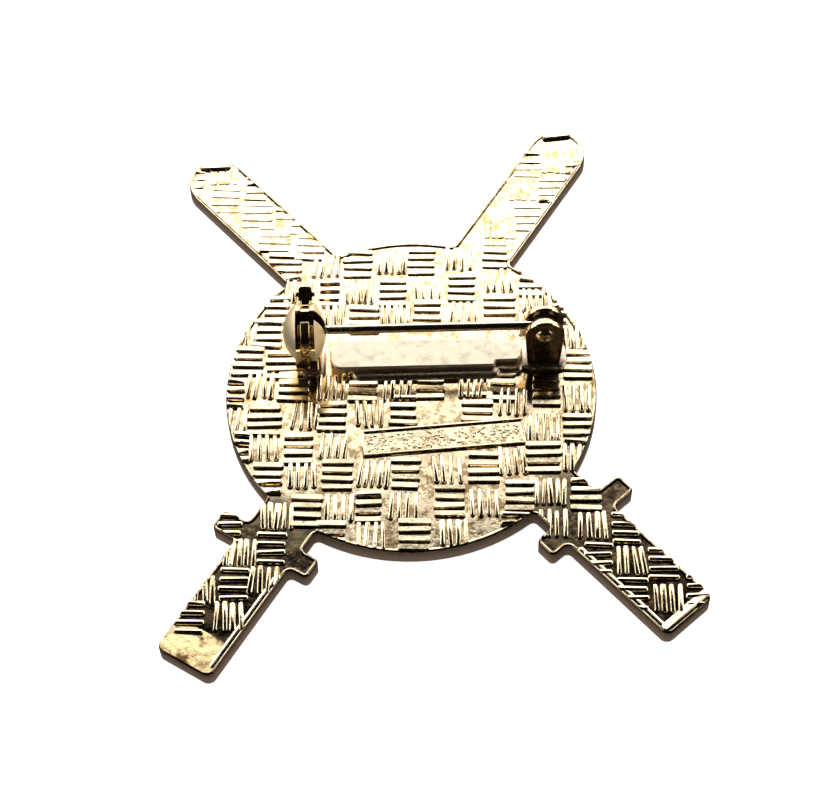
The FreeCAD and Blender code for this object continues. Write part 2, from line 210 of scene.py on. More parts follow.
def boxAt(name, low, high):
    # a box between two corners (in mm)
    low, high = Vector(low) * mm, Vector(high) * mm
    deselectAll()
    bpy.ops.mesh.primitive_cube_add(size=1, location=(low + high) / 2)
    item = bpy.context.object
    item.name = name
    item.scale = high - low
    bpy.ops.object.transform_apply(location=True, rotation=True, scale=True)
    return item


def isUpright(first, second):
    # an edge that stands up, for chooseEdges
    return abs(first.z - second.z) > 0.1 * mm


def atTop(height):
    # a test for the edges at a height (in mm)
    return lambda first, second: min(first.z, second.z) > (height - 0.01) * mm


def placed(x, y, z=0.0):
    return Matrix.Translation((x * mm, y * mm, z * mm))


def keepInside(item, other):
    # trims an object to what lies inside another one
    boolean = item.modifiers.new("cut", "BOOLEAN")
    boolean.operation = "INTERSECT"
    boolean.object = other
    boolean.solver = "MANIFOLD"
    applyAll(item)


class Wire:
    # one output socket of a material, to write its maths as plain expressions
    def __init__(self, sheet, socket):
        self.sheet = sheet
        self.socket = socket

    def __add__(self, other):
        return self.sheet.maths("ADD", self, other)

    def __radd__(self, other):
        return self.sheet.maths("ADD", other, self)

    def __sub__(self, other):
        return self.sheet.maths("SUBTRACT", self, other)

    def __rsub__(self, other):
        return self.sheet.maths("SUBTRACT", other, self)

    def __mul__(self, other):
        return self.sheet.maths("MULTIPLY", self, other)

    def __rmul__(self, other):
        return self.sheet.maths("MULTIPLY", other, self)

    def ramp(self, low, high):
        # 0 at low, 1 at high, smooth between; low may be the greater one
        return self.sheet.node(
            "ShaderNodeMapRange", {"interpolation_type": "SMOOTHSTEP", "clamp": True},
            {"Value": self, "From Min": low, "From Max": high, "To Min": 0.0, "To Max": 1.0})


class Sheet:
    # one material and its nodes
    def __init__(self, name):
        self.material = bpy.data.materials.new(name)
        self.material.use_nodes = True
        self.tree = self.material.node_tree
        self.tree.nodes.clear()

    def node(self, kind, settings=None, sockets=None, out=0):
        made = self.tree.nodes.new(kind)
        for key, value in (settings or {}).items():
            setattr(made, key, value)
        for key, value in (sockets or {}).items():
            if isinstance(value, Wire):
                self.tree.links.new(value.socket, made.inputs[key])
            else:
                made.inputs[key].default_value = value
        return None if out is None else Wire(self, made.outputs[out])

    def maths(self, operation, first, second=0.0):
        return self.node("ShaderNodeMath", {"operation": operation}, {0: first, 1: second})

    def place(self):
        return self.node("ShaderNodeTexCoord", out="Object")

    def moved(self, vector, shift):
        return self.node("ShaderNodeMapping", {"vector_type": "POINT"}, {"Vector": vector, "Location": shift})

    def parts(self, vector):
        split = self.node("ShaderNodeSeparateXYZ", {}, {"Vector": vector}).socket.node
        return [Wire(self, split.outputs[i]) for i in range(3)]

    def noise(self, vector, scale, detail=3.0, rough=0.55):
        return self.node("ShaderNodeTexNoise", {}, {
            "Vector": vector, "Scale": scale, "Detail": detail, "Roughness": rough})

    def cells(self, vector, scale):
        return self.node("ShaderNodeTexVoronoi", {}, {"Vector": vector, "Scale": scale})

    def mix(self, factor, first, second):
        # two colours, mixed by a factor
        made = self.node("ShaderNodeMix", {"data_type": "RGBA"}, {0: factor, 6: first, 7: second})
        return Wire(self, made.socket.node.outputs[2])

    def bump(self, height, strength, distance):
        return self.node("ShaderNodeBump", {}, {"Height": height, "Strength": strength, "Distance": distance})

    def surface(self, **sockets):
        # a Principled surface; Base_Color stands for the socket Base Color
        names = {key.replace("_", " "): value for key, value in sockets.items()}
        return self.node("ShaderNodeBsdfPrincipled", {}, names, out="BSDF")

    def finish(self, surface):
        self.node("ShaderNodeOutputMaterial", {}, {"Surface": surface}, out=None)
        return self.material


def colour(red, green, blue):
    return (red, green, blue, 1)


cameraPlace = {
    # where it stands, and its three axes as seen through it
    "location": (-0.006420, -0.123336, 0.188061),
    "right": (0.995807, -0.088371, -0.023643),
    "up": (0.086798, 0.831123, 0.549273),
    "back": (-0.028889, -0.549022, 0.835309),
    "lens": 90.37, "sensor": 36, "clip": (0.01, 20),
}


def makeCamera(s):
    data = bpy.data.cameras.new("camera")
    data.lens = s["lens"]
    data.sensor_width = s["sensor"]
    data.clip_start, data.clip_end = s["clip"]
    camera = bpy.data.objects.new("camera", data)
    bpy.context.scene.collection.objects.link(camera)
    axes = Matrix((s["right"], s["up"], s["back"])).transposed().to_4x4()
    camera.matrix_world = Matrix.Translation(s["location"]) @ axes
    bpy.context.scene.camera = camera


makeCamera(cameraPlace)
print("camera set")

# soft boxes stand behind and at both sides; in front and overhead it stays dark
studio = {
    "floorSize": 6.0, "floorGap": 0.02,                     # metres, and mm below the badge
    "floorColour": (0.93, 0.93, 0.93), "floorShade": 0.99,
    "floorGlow": 1.0, "floorRoughness": 0.95,
    "floorInGloss": (0.005, 0.0032, 0.002),                 # what the polished gold sees of the floor
    "room": (0.003, 0.002, 0.0015), "backdrop": (1, 1, 1),
    "boxes": (
        # name, centre, width, height, brightness
        ("boxBehind", (0.0, 0.62, 0.42), 1.5, 0.8, 2.7),
        ("boxBehindHigh", (0.0, 0.62, 0.89), 1.5, 0.14, 1.8),
        ("boxBehindTop", (0.0, 0.62, 1.045), 1.5, 0.17, 1.6),
        ("boxLeft", (-0.75, 0.05, 0.42), 1.0, 0.62, 1.7),
        ("boxRight", (0.75, 0.05, 0.42), 1.0, 0.62, 1.7),
    ),
}


def makeFloor(s):
    deselectAll()
    bpy.ops.mesh.primitive_plane_add(size=s["floorSize"], location=(0, 0, cadLow.z - s["floorGap"] * mm))
    floor = bpy.context.object
    floor.name = "floor"
    placeMesh(floor)
    sheet = Sheet("pale floor")
    tone = sheet.noise(sheet.place(), 9.0, 2.0).ramp(0.3, 0.7)
    pale = s["floorColour"]
    shaded = [channel * s["floorShade"] for channel in pale]
    seen = sheet.surface(
        Base_Color=sheet.mix(tone, colour(*shaded), colour(*pale)), Roughness=s["floorRoughness"],
        Emission_Color=colour(*pale), Emission_Strength=s["floorGlow"])
    mirrored = sheet.surface(Base_Color=colour(*s["floorInGloss"]), Roughness=s["floorRoughness"])
    inGloss = sheet.node("ShaderNodeLightPath", out="Is Glossy Ray")
    floor.data.materials.append(sheet.finish(
        sheet.node("ShaderNodeMixShader", {}, {0: inGloss, 1: seen, 2: mirrored})))
    floor.data.materials[0].cycles.emission_sampling = "NONE"


def makeBox(name, centre, width, height, brightness):
    # an upright soft box that faces the middle of the floor
    data = bpy.data.lights.new(name, "AREA")
    data.shape = "RECTANGLE"
    data.size, data.size_y = width, height
    data.energy = brightness * math.pi * width * height
    lamp = bpy.data.objects.new(name, data)
    bpy.context.scene.collection.objects.link(lamp)
    lamp.location = centre
    facing = Vector((-centre[0], -centre[1], 0))
    lamp.rotation_mode = "QUATERNION"
    lamp.rotation_quaternion = facing.to_track_quat("-Z", "Y")
    lamp.visible_camera = False


def makeRoom(s):
    # a dark room, with a white backdrop for the camera alone
    world = bpy.data.worlds.new("studio")
    world.use_nodes = True
    nodes, links = world.node_tree.nodes, world.node_tree.links
    nodes["Background"].inputs["Color"].default_value = colour(*s["room"])
    backdrop = nodes.new("ShaderNodeBackground")
    backdrop.inputs["Color"].default_value = colour(*s["backdrop"])
    path, choice = nodes.new("ShaderNodeLightPath"), nodes.new("ShaderNodeMixShader")
    links.new(path.outputs["Is Camera Ray"], choice.inputs[0])
    links.new(nodes["Background"].outputs[0], choice.inputs[1])
    links.new(backdrop.outputs[0], choice.inputs[2])
    links.new(choice.outputs[0], nodes["World Output"].inputs["Surface"])
    bpy.context.scene.world = world
    bpy.context.scene.view_settings.view_transform = "Standard"


makeFloor(studio)
for box in studio["boxes"]:
    makeBox(*box)
makeRoom(studio)
print("floor and lights set")

goldCast = {
    "bright": (1.0, 0.87, 0.6),
    "deep": (0.55, 0.36, 0.16),
    # painted shade: the darker brown that lies down between the ridges
    "betweenRidgesShade": (0.2, 0.13, 0.07),
    # painted shade: the near-black down between the ridges of the hilts
    "hiltGroundShade": (0.035, 0.021, 0.01),
    # painted shade: the side walls are darker than the gold, darkest towards their top
    "wall": (0.34, 0.23, 0.165), "wallTopShade": (0.14, 0.08, 0.045),
    "roughness": 0.1, "stainDulls": 0.08, "wallDulls": 0.3, "wallLosesMetal": 0.55,
    # scales of the noises: large stains, fine speckle, waves, grain and pits of the metal
    "stain": 420.0, "speckle": 1300.0, "waves": 700.0, "grain": 2600.0, "pits": 1500.0,
    # where stain, speckle and pits begin and are full
    "stainEdge": (0.42, 0.7), "speckleEdge": (0.48, 0.62), "pitEdge": (0.0, 0.35), "steepEdge": (0.75, 0.2),
    # heights in mm: the wall's upper end, the floor between the ridges, the raised rim, the wall's painted
    # shade
    "wallBelow": (2.05, 1.85), "lowBelow": (2.27, 2.12), "lowAbove": (1.75, 1.9), "rimAbove": (2.1, 2.02),
    "wallShade": (0.3, 2.0),
    # the hilts lie outside the disc, to the sides and low; the lower half and the right get painted shade
    # between the ridges (mm)
    "outside": (17.6, 19.4), "apart": (8.5, 11.5), "hiltsBelow": (-10, -13),
    "lowerHalf": (1, -7), "rightSide": (7, 17), "rightBelow": (14, 9), "rightShare": 0.8,
    # shares of painted shade down between the ridges (deep gold, darker brown, near-black on the hilts):
    # even, and with the speckle or stain
    "ridgeDeepShade": (0.15, 0.5), "ridgeShadeShares": (0.2, 0.48), "hiltShadeShares": (0.97, 0.45, 0.2), "wallShare": 0.95,
    "bumpStrength": 0.45, "bumpDepth": 0.04, "waveBump": 0.8, "grainBump": 0.25, "pitBump": 0.12,
}


def makeCastGold(name, s, rough, stained):
    sheet = Sheet(name)
    place = sheet.place()
    x, y, z = sheet.parts(place)

    def between(wire, key):
        low, high = s[key]
        return wire.ramp(low * mm, high * mm)

    facing = sheet.parts(sheet.node("ShaderNodeNewGeometry", out="Normal"))[2]
    steep = sheet.maths("ABSOLUTE", facing).ramp(*s["steepEdge"])
    wall = steep * between(z, "wallBelow")                    # 1 on the side walls
    low = between(z, "lowBelow") * between(z, "lowAbove")     # 1 down between the ridges
    outside = between(sheet.maths("SQRT", x * x + y * y), "outside")
    apart = between(sheet.maths("ABSOLUTE", x), "apart")
    hilts = outside * apart * between(y, "hiltsBelow")        # 1 on the two hilts
    stain = sheet.noise(place, s["stain"], 4.0, 0.6).ramp(*s["stainEdge"])
    shifted = sheet.moved(place, (3 * mm, 0, 0))              # so that the speckle differs from the stain
    speckle = sheet.noise(shifted, s["speckle"], 3.0, 0.6).ramp(*s["speckleEdge"])
    spots = stain * (0.2 + stained) + speckle * stained
    # deep gold where the stains and speckle lie, and as painted shade down between the ridges
    even, speckled = s["ridgeDeepShade"]
    stainsAndShade = spots + (even + speckled * speckle) * low
    tint = sheet.mix(stainsAndShade, colour(*s["bright"]), colour(*s["deep"]))
    # painted shade: darker brown down between the ridges, over the lower half and the right side
    right = between(x, "rightSide") * between(y, "rightBelow")
    shadedRegion = sheet.maths("MAXIMUM", between(y, "lowerHalf"), right * s["rightShare"])
    even, speckled = s["ridgeShadeShares"]
    tint = sheet.mix(low * shadedRegion * (even + speckled * speckle), tint, colour(*s["betweenRidgesShade"]))
    # painted shade: near-black down between the hilt ridges, off the rim, less where speckle and stain lie
    ground = between(z, "rimAbove")                           # 0 on the raised rim
    even, speckled, stains = s["hiltShadeShares"]
    worn = even - speckled * speckle - stains * stain
    tint = sheet.mix(low * ground * hilts * worn, tint, colour(*s["hiltGroundShade"]))
    # painted shade on the side walls, darker towards their top
    side = sheet.mix(between(z, "wallShade"), colour(*s["wall"]), colour(*s["wallTopShade"]))
    tint = sheet.mix(wall * s["wallShare"], tint, side)
    grain = sheet.noise(place, s["grain"], 3.0, 0.6)
    waves = sheet.noise(place, s["waves"], 2.0, 0.5)
    pits = sheet.cells(place, s["pits"]).ramp(*s["pitEdge"])
    dull = s["roughness"] + s["stainDulls"] * stain + s["wallDulls"] * wall
    height = waves * s["waveBump"] + grain * (s["grainBump"] + rough) + pits * s["pitBump"]
    return sheet.finish(sheet.surface(
        Base_Color=tint, Roughness=dull, Metallic=1.0 - s["wallLosesMetal"] * wall,
        Normal=sheet.bump(height, s["bumpStrength"], s["bumpDepth"] * mm)))


plainGold = {
    # name, bright, deep, roughness, scale and share of the stains, scale and depth (mm) of the bumps
    "strip": ("satin strip", (0.66, 0.59, 0.45), (0.42, 0.35, 0.23), 0.3, 900.0, 0.6, 1500.0, 0.03),
    "fitting": ("polished fittings", (1.0, 0.78, 0.42), (0.45, 0.26, 0.1), 0.12, 500.0, 0.5, 1500.0, 0.012),
    "rivet": ("rivet tube", (0.86, 0.7, 0.45), (0.3, 0.2, 0.1), 0.2, 800.0, 0.8, 1500.0, 0.012),
    "wire": ("drawn wire", (0.8, 0.68, 0.5), (0.42, 0.3, 0.2), 0.16, 600.0, 0.7, 1500.0, 0.01),
    "cheek": ("satin cheeks", (1.0, 0.8, 0.5), (0.85, 0.62, 0.36), 0.46, 500.0, 0.4, 1500.0, 0.01),
    # painted reflection: the catch's foot is coloured orange
    "foot": ("foot painted reflection", (1.0, 0.6, 0.2), (0.6, 0.32, 0.1), 0.3, 500.0, 0.6, 1500.0, 0.01),
    # painted shade: the flat sides of the bracket's ears
    "upright": ("bracket sides painted shade", (0.2, 0.13, 0.07), (0.09, 0.055, 0.03), 0.22, 600.0, 0.6, 1500.0, 0.012),
    # painted shade: the deep inside of the catch and its ring
    "inside": ("inside painted shade", (0.2, 0.12, 0.05), (0.05, 0.03, 0.015), 0.4, 700.0, 0.8, 1500.0, 0.02),
    "worn": ("worn hilt end", (0.85, 0.66, 0.34), (0.14, 0.075, 0.03), 0.2, 520.0, 2.2, 900.0, 0.12),
    "solder": ("solder", (0.62, 0.52, 0.4), (0.2, 0.14, 0.09), 0.26, 600.0, 0.8, 1300.0, 0.05),
}
lessMetal = {"cheek": 0.9, "foot": 0.7}      # the other finishes are all metal
plainWear = {
    # where stains and specks begin and are full, how much they colour, and how they dull
    "stainEdge": (0.46, 0.72), "speckEdge": (0.28, 0.08), "specksFiner": 5.0,
    "stainShare": 0.6, "speckShare": 0.5, "stainDulls": 0.16, "bumpStrength": 0.4,
}


def makePlainGold(name, bright, deep, roughness, stainScale, stainShare, bumpScale, bumpDepth, metallic):
    sheet = Sheet(name)
    place = sheet.place()
    wear = plainWear
    stain = sheet.noise(place, stainScale, 5.0, 0.65).ramp(*wear["stainEdge"])
    specks = sheet.cells(place, stainScale * wear["specksFiner"]).ramp(*wear["speckEdge"]) * stain
    worn = (stain * wear["stainShare"] + specks * wear["speckShare"]) * stainShare
    tint = sheet.mix(worn, colour(*bright), colour(*deep))
    relief = sheet.bump(sheet.noise(place, bumpScale, 3.0), wear["bumpStrength"], bumpDepth * mm)
    return sheet.finish(sheet.surface(
        Base_Color=tint, Roughness=roughness + wear["stainDulls"] * stain, Metallic=metallic, Normal=relief))


castGold = makeCastGold("cast gold", goldCast, 0.0, 0.12)
tooledGold = makeCastGold("tooled gold", goldCast, 0.6, 0.4)
gold = {key: makePlainGold(*values, lessMetal.get(key, 1.0)) for key, values in plainGold.items()}
print("materials made")

casting = {
    # heights in mm: the CAD back and its label pocket, the sunk rim, the ground between the ridges
    "backZ": 2.4, "pocketZ": (2.2, 2.395), "rimDrop": 0.3, "groundZ": 1.98, "rimSlope": 0.24,
    "backRadius": 0.24, "frontRadius": 0.1, "flatDegrees": 0.6,
    "trimInset": 0.12, "trimBelow": 0.6, "trimHeight": 0.9,      # the prism that trims the weave
}


def isBack(face):
    # the flat of the back, both as it comes and once it is sunk to the rim
    return face.normal.z > 0.99 and face.center.z > 2.0 * mm


def closePocket(body, s):
    # the label's pocket is filled, because the label comes as a piece of its own
    low, high = s["pocketZ"]
    chooseFaces(body, lambda f: low * mm < f.center.z < high * mm)
    bpy.ops.mesh.delete(type="FACE")
    bpy.ops.mesh.select_mode(type="EDGE")
    bpy.ops.mesh.select_non_manifold()
    bpy.ops.mesh.edge_face_add()
    bpy.ops.mesh.select_all(action="SELECT")
    bpy.ops.mesh.dissolve_limited(angle_limit=math.radians(s["flatDegrees"]))
    leaveEdit()


def makeOutline(body, s):
    # the back's outline as a prism, a little smaller than the back
    outline = copyOf(body, "outlinePrism")
    chooseFaces(outline, lambda f: not isBack(f))
    bpy.ops.mesh.delete(type="FACE")
    bpy.ops.mesh.select_all(action="SELECT")
    bpy.ops.mesh.inset(thickness=s["trimInset"] * mm, depth=0)
    bpy.ops.mesh.select_all(action="INVERT")
    bpy.ops.mesh.delete(type="FACE")
    bpy.ops.mesh.select_all(action="SELECT")
    bpy.ops.transform.translate(value=(0, 0, -s["trimBelow"] * mm))
    bpy.ops.mesh.extrude_region_move(TRANSFORM_OT_translate={"value": (0, 0, s["trimHeight"] * mm)})
    bpy.ops.mesh.select_all(action="SELECT")
    bpy.ops.mesh.normals_make_consistent(inside=False)
    leaveEdit()
    return outline


def makeCasting(s):
    body = copyNode("badge_plate", "casting")
    closePocket(body, s)
    outline = makeOutline(body, s)
    chooseFaces(body, isBack)
    bpy.ops.transform.translate(value=(0, 0, -s["rimDrop"] * mm))
    leaveEdit()
    rimZ = s["backZ"] - s["rimDrop"]
    chooseSharp(body, lambda a, b: min(a.z, b.z) > (rimZ - 0.01) * mm)
    bevelChosen(s["backRadius"], 3)
    chooseSharp(body, lambda a, b: max(a.z, b.z) < 0.01 * mm)
    bevelChosen(s["frontRadius"], 2)
    chooseFaces(body, isBack)                                 # the ground, inside the raised rim
    bpy.ops.mesh.inset(thickness=s["rimSlope"] * mm, depth=0)
    bpy.ops.transform.translate(value=(0, 0, (s["groundZ"] - rimZ) * mm))
    leaveEdit()
    smooth(body, 32)
    flattenBig(body, 2.0)
    body.data.materials.append(castGold)
    return body, outline


castBody, outlinePrism = makeCasting(casting)
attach(castBody, "badge")
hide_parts("badge_plate")
print("casting made,", len(castBody.data.polygons), "faces")

weave = {
    "turn": -6.5, "top": 2.4, "bottom": 1.85,
    "levelWidth": 0.66, "levelLength": 3.25, "levelPitch": 1.05,
    "uprightWidth": 0.56, "uprightLength": 3.3, "uprightPitch": 0.84, "uprightCrown": 0.16,
    "corner": 0.22, "crown": 0.07,
    "hiltLine": -15.6, "hiltSide": 11, "hiltWidth": 0.62, "hiltCrown": 0.19,       # rounder ridges below
    "bladeLine": 18.7, "bladeWidth": 0.84, "bladeCrown": 0.1, "bladeDrop": 0.3,    # shallower ones above
    "upperDrop": 0.16, "lowerShare": 0.92,        # the ridges sink up the disc, and are narrower low on it
    # unevenness of the ridges: share of width and length, mm, degrees
    "widths": (0.88, 1.14), "lengths": (0.94, 1.05), "sink": 0.05, "wander": 0.05, "twist": 2.2, "lean": 3,
    "fiveCloser": 0.86,                           # an upright cell has four ridges, or five closer ones
    "levelCut": (0.9, (0.16, 0.16, 0.04)), "uprightCut": (0.55, (0.24, 0.24, 0.1)),
    "seed": 11,
    # centres of the cells, along and across the turned weave, then the ridges' length
    "level": (
        (-19.1, -0.7, 2.2), (-12.7, 0.3, 3.5), (-5.2, 0.3, 3.3), (-15.6, -4.1, 3.6), (-8.4, -3.5, 3.2),
        (-0.8, -2.6, 3.0), (-17.8, -7.5, 1.8), (-11.8, -7.6, 3.1), (-14.9, -11.3, 3.2), (-7.5, -10.8, 3.3),
        (-0.3, -10.5, 3.1), (-10.5, -15.2, 3.2), (-4.1, -14.7, 2.7), (0.8, -17.9, 3.4), (-7.9, -18.3, 3.2),
        (2.1, 0.7, 3.0), (9.7, 0.6, 3.2), (7.2, -2.1, 3.4), (17.8, -4.8, 3.2), (14.2, -8.4, 3.7),
        (7.9, -9.7, 3.4), (4.4, -13.9, 3.2), (11.7, -13.1, 3.0), (18.6, -12.9, 3.2), (11.2, -17.0, 3.0),
        (-17.9, 3.6, 3.4), (-14.1, 3.1, 3.6), (-15.9, 7.3, 3.3), (-15.2, 10.6, 2.9), (-9.4, 12.8, 2.2),
        (-2.4, 13.0, 3.1), (-5.4, 9.3, 3.5), (-6.4, 17.0, 3.3), (-14.6, 16.6, 3.9), (0.7, 17.4, 3.2),
        (9.0, 18.4, 2.8), (5.3, 13.8, 3.2), (13.0, 14.6, 2.7), (9.5, 10.9, 3.5), (1.5, 10.1, 3.0),
        (18.0, 3.5, 3.2), (16.2, 10.7, 1.5), (14.6, 0.0, 3.0), (-11.9, 19.4, 3.2), (-16.0, 20.6, 3.6),
        (-13.9, -19.7, 3.2), (-17.4, -23.9, 3.2), (-21.7, -27.8, 3.2), (-18.4, -17.4, 2.6),
        (22.6, -16.9, 3.0), (19.7, -20.5, 3.0), (26.3, -21.0, 3.2), (23.1, -24.5, 3.2), (29.9, -24.1, 3.0),
        (-18.2, 24.0, 3.6), (-14.6, 23.2, 3.2), (-22.0, 26.2, 3.4), (-18.6, 28.0, 2.6), (-25.9, 29.8, 2.6),
        (12.7, 23.8, 3.2), (15.5, 27.9, 3.2), (12.8, 31.7, 3.2), (18.4, 31.0, 3.0)),
    "upright": (
        (-16.3, 0.4), (-11.2, -3.5), (-8.6, 0.2), (-1.5, 0.3), (-18.9, -4.2), (-4.4, -3.1), (-15.5, -7.5),
        (-8.0, -7.2), (-11.2, -10.9), (-3.7, -10.6), (-13.5, -15.9), (-7.1, -14.8), (-0.4, -14.5),
        (-3.7, -18.1), (6.9, 0.7), (11.0, -1.4), (17.9, -0.9), (14.3, -4.7), (17.9, -8.4), (10.9, -8.9),
        (4.1, -10.0), (8.0, -14.0), (14.9, -12.6), (4.9, -17.6), (-18.7, 7.1), (-12.9, 13.0), (-6.1, 13.1),
        (-9.1, 9.9), (-2.0, 9.7), (-9.9, 16.7), (-2.5, 17.2), (4.9, 17.8), (9.4, 14.8), (1.5, 13.5),
        (13.7, 12.0), (5.6, 10.2), (18.1, 7.0), (13.3, 8.9),
        (-17.1, -20.3), (-20.8, -24.6), (-17.7, -27.6), (-14.4, -23.4), (15.1, -16.4), (19.2, -16.6),
        (23.0, -20.7), (26.6, -25.0), (-22.4, 30.0), (9.6, 22.3), (12.0, 27.9), (16.2, 31.9), (16.6, 23.8)),
}


def makeRidge(name, width, length, crown, s):
    # one ridge along X at the origin, rounded in plan and over its crown
    ridge = boxAt(name, (-length / 2, -width / 2, s["bottom"]), (length / 2, width / 2, s["top"]))
    chooseEdges(ridge, isUpright)
    bevelChosen(s["corner"], 2)
    chooseEdges(ridge, atTop(s["top"]))
    bevelChosen(crown, 2)
    return ridge


def layRidge(master, pieces, u, v, turn, stretch, chance, s):
    # one copy of a ridge at (u, v) of the turned weave, a little uneven as if cut by hand
    spin = math.radians(s["turn"])
    x = u * math.cos(spin) - v * math.sin(spin)
    y = u * math.sin(spin) + v * math.cos(spin)
    wander = s["wander"]
    twin = copyOf(master, "ridge")
    wide = chance.uniform(*s["widths"]) * (s["lowerShare"] if v < 0 else 1.0)
    drop = chance.uniform(-s["sink"], 0.0)
    drop -= s["bladeDrop"] if v > s["bladeLine"] + 1 else s["upperDrop"] * max(0.0, v) / s["bladeLine"]
    angle = math.radians(s["turn"] + turn + chance.uniform(-s["twist"], s["twist"]))
    x += chance.uniform(-wander, wander)
    y += chance.uniform(-wander, wander)
    shape = Matrix.Diagonal((stretch * chance.uniform(*s["lengths"]), wide, 1, 1))
    twin.data.transform(placed(x, y, drop) @ Matrix.Rotation(angle, 4, "Z") @ shape)
    pieces.append(twin)


def roughen(item, grain, strengths, name):
    # pushes the surface a little off its true shape, by a cloud texture along each axis (in mm)
    for index, (axis, strength) in enumerate(zip("XYZ", strengths)):
        cloud = bpy.data.textures.new(name + axis, "CLOUDS")
        cloud.noise_scale = grain * (1.0 + 0.17 * index) * mm
        push = item.modifiers.new(name + axis, "DISPLACE")
        push.texture = cloud
        push.texture_coords = "LOCAL"
        push.direction = axis
        push.strength = strength * mm
    applyAll(item)


def ridgeKind(u, v, usual, s):
    if v > s["bladeLine"]:
        return "blade"
    return "hilt" if v < s["hiltLine"] and abs(u) > s["hiltSide"] else usual


def makeWeave(s):
    chance = random.Random(s["seed"])
    masters = {
        "level": makeRidge("levelRidge", s["levelWidth"], s["levelLength"], s["crown"], s),
        "upright": makeRidge("uprightRidge", s["uprightWidth"], s["uprightLength"], s["uprightCrown"], s),
        "hilt": makeRidge("hiltRidge", s["hiltWidth"], s["levelLength"], s["hiltCrown"], s),
        "blade": makeRidge("bladeRidge", s["bladeWidth"], s["levelLength"], s["bladeCrown"], s),
    }
    across, along = [], []
    for u, v, length in s["level"]:
        master = masters[ridgeKind(u, v, "level", s)]
        for step in (-1.5, -0.5, 0.5, 1.5):
            layRidge(master, across, u, v + step * s["levelPitch"], 0, length / s["levelLength"], chance, s)
    for u, v in s["upright"]:
        master = masters[ridgeKind(u, v, "upright", s)]
        count = chance.choice((4, 5))
        pitch = s["uprightPitch"] * (1.0 if count == 4 else s["fiveCloser"])
        lean = chance.uniform(-s["lean"], s["lean"])
        for step in range(count):
            shift = (step - (count - 1) / 2) * pitch
            turn = 90 + lean + chance.uniform(-s["lean"], s["lean"])
            layRidge(master, along, u + shift, v, turn, 1.0, chance, s)
    for master in masters.values():
        bpy.data.objects.remove(master)
    level, upright = joined(across, "weave_level"), joined(along, "weave_upright")
    roughen(level, *s["levelCut"], "levelCut")
    roughen(upright, *s["uprightCut"], "uprightCut")
    return level, upright


pads = {
    # centre, size, turn (degrees), low, high, tilt about its own X (degrees), crown
    "tip_left": ((-19.9, 33.5), (3.6, 1.05), -3.0, 2.0, 2.42, 0.0, 0.12),
    "tip_right": ((20.1, 33.9), (3.4, 1.05), 1.0, 2.0, 2.42, 0.0, 0.12),
    "edge_left": ((-19.1, -26.1), (0.95, 12.6), -36.5, 1.8, 2.3, 0.0, 0.4),
    "edge_right": ((19.1, -26.1), (0.95, 12.6), 36.5, 1.8, 2.3, 0.0, 0.4),
    "end_right": ((25.2, -29.5), (6.4, 0.9), 36.5, 1.8, 2.36, -5.0, 0.12),
}
# the smooth, worn end of the left hilt, a piece with its own finish
wornEnd = ((-24.5, -28.65), (7.4, 4.4), -36.5, 1.72, 2.17, -4.0, 0.12)


def makePad(name, centre, size, turn, low, high, tilt, crown):
    # a smooth raised patch of the casting, with rounded corners
    pad = boxAt(name, (-size[0] / 2, -size[1] / 2, low), (size[0] / 2, size[1] / 2, high))
    chooseEdges(pad, isUpright)
    bevelChosen(min(0.5, 0.45 * min(size)), 5)
    chooseEdges(pad, atTop(high))
    bevelChosen(crown, 3)
    pad.data.transform(
        placed(*centre) @ Matrix.Rotation(math.radians(turn), 4, "Z")
        @ Matrix.Rotation(math.radians(tilt), 4, "X"))
    return pad


def trimmed(item, material):
    # a piece of the back's relief, cut off at the casting's outline
    keepInside(item, outlinePrism)
    smooth(item, 40)
    flattenBig(item, 1.2)
    item.data.materials.clear()
    item.data.materials.append(material)
    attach(item, "badge")
    return item


padPieces = [makePad(name, *values) for name, values in pads.items()]
trimmed(makePad("hilt_end", *wornEnd), gold["worn"])
levelRidges, uprightRidges = makeWeave(weave)
weaveLevel = trimmed(joined([levelRidges, *padPieces], "weave_level"), castGold)
weaveUpright = trimmed(uprightRidges, tooledGold)
bpy.data.objects.remove(outlinePrism)
print("weave made,", len(weaveLevel.data.polygons) + len(weaveUpright.data.polygons), "faces")

label = {
    "centre": (2.95, -6.4), "size": (17.5, 3.15), "turn": -0.4,
    "bottom": 2.0, "frameZ": 2.37, "fieldZ": 2.17, "frameWidth": 0.24, "slope": 0.12, "edge": 0.07,
    "pips": 190, "pipSize": (0.34, 0.22), "pipHeight": 0.13, "pipEdge": 0.06, "margin": 0.6, "seed": 5,
    "lengths": (0.6, 1.3), "widths": (0.7, 1.2), "heights": (0.6, 1.1),        # shares of the pip's size
}


